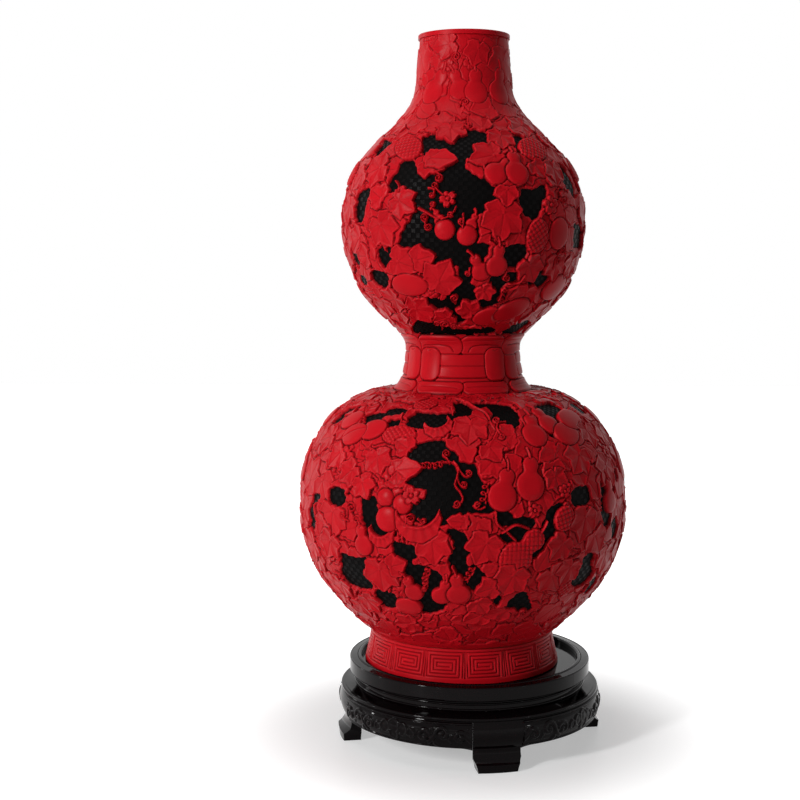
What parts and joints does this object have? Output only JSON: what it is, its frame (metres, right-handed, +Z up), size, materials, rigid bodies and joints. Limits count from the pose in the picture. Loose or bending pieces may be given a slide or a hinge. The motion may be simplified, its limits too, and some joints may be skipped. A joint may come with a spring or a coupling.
{
  "type": "double gourd vase",
  "caption": "Double gourd vase in carved red lacquer over a black ground, standing loose on a round carved wooden stand with four feet.",
  "frame": {"origin": "on the floor under the feet of the stand, on the axis of the vase", "axes": "+Z up along the axis of the vase, -Y towards the viewer, +X to the viewer's right"},
  "size_m": [0.2586, 0.2586, 0.547],
  "materials": {
    "red_lacquer": "carved cinnabar lacquer, satin polish",
    "black_lacquer": "black lacquer, satin",
    "spun_copper": "spun and soldered",
    "felt": "pressed felt",
    "lacquered_wood": "dark hardwood, high gloss lacquer",
    "bare_wood": "planed hardwood"
  },
  "bodies": {
    "stand": {"tray_frame_arc_1": "lacquered_wood", "tray_frame_arc_2": "lacquered_wood", "tray_frame_arc_3": "lacquered_wood", "tray_frame_arc_4": "lacquered_wood", "waist_moulding_arc_1": "lacquered_wood", "waist_moulding_arc_2": "lacquered_wood", "waist_moulding_arc_3": "lacquered_wood", "waist_moulding_arc_4": "lacquered_wood", "apron_1": "lacquered_wood", "apron_2": "lacquered_wood", "apron_3": "lacquered_wood", "apron_4": "lacquered_wood", "stand_foot_1": "lacquered_wood", "stand_foot_2": "lacquered_wood", "stand_foot_3": "lacquered_wood", "stand_foot_4": "lacquered_wood", "tray_frame_tongues": "bare_wood", "ring_dowels": "bare_wood", "tray_panel": "lacquered_wood", "panel_battens": "bare_wood", "glue_blocks": "bare_wood"},
    "pad": {"felt_pad": "felt"},
    "vase": {"coat_foot_band": "red_lacquer", "coat_lower_globe": "red_lacquer", "coat_waist_sash": "red_lacquer", "coat_upper_globe": "red_lacquer", "coat_neck": "red_lacquer", "coat_lip": "red_lacquer", "ground_lower_globe": "black_lacquer", "ground_upper_globe": "black_lacquer", "metal_lower_globe": "spun_copper", "metal_upper_globe": "spun_copper", "waist_sleeve": "spun_copper", "foot_hoop": "spun_copper", "base_plate": "spun_copper", "underside_coat": "black_lacquer", "lining_lower_globe": "black_lacquer", "lining_upper_globe": "black_lacquer", "mouth_ring": "spun_copper"}
  },
  "joints": [
    {"name": "vase_turn", "type": "hinge", "parent": "stand", "child": "pad", "pos_m": [0, 0, 0.058], "axis": [0, 0, 1], "continuous": true},
    {"name": "vase_lift", "type": "slide", "parent": "pad", "child": "vase", "axis": [0, 0, 1], "range_m": [0, 0.1]}
  ]
}
